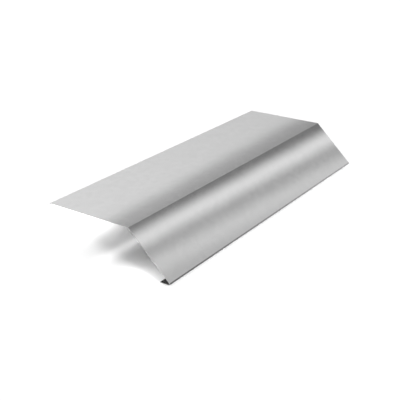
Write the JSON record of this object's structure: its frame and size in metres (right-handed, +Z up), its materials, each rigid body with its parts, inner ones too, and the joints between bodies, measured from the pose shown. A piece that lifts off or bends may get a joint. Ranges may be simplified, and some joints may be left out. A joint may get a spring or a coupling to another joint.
{
  "type": "eaves flashing",
  "caption": "Folded sheet-steel eaves flashing: a flat deck flange, a sloping face and a narrow return lip at the drip edge, covering a roof edge and shedding water from it.",
  "frame": {"origin": "middle of the ground that the part covers, at floor level", "axes": "+X along the eaves, -Y the way the face looks, +Z up, with the part lying as it comes to rest on the free edges of its flange and lip"},
  "size_m": [0.39, 0.1548, 0.0326],
  "materials": {
    "galvanised_sheet": "bright galvanised zinc, satin, with faint spangle"
  },
  "bodies": {
    "root": {"eaves_flashing": "galvanised_sheet"}
  },
  "joints": []
}
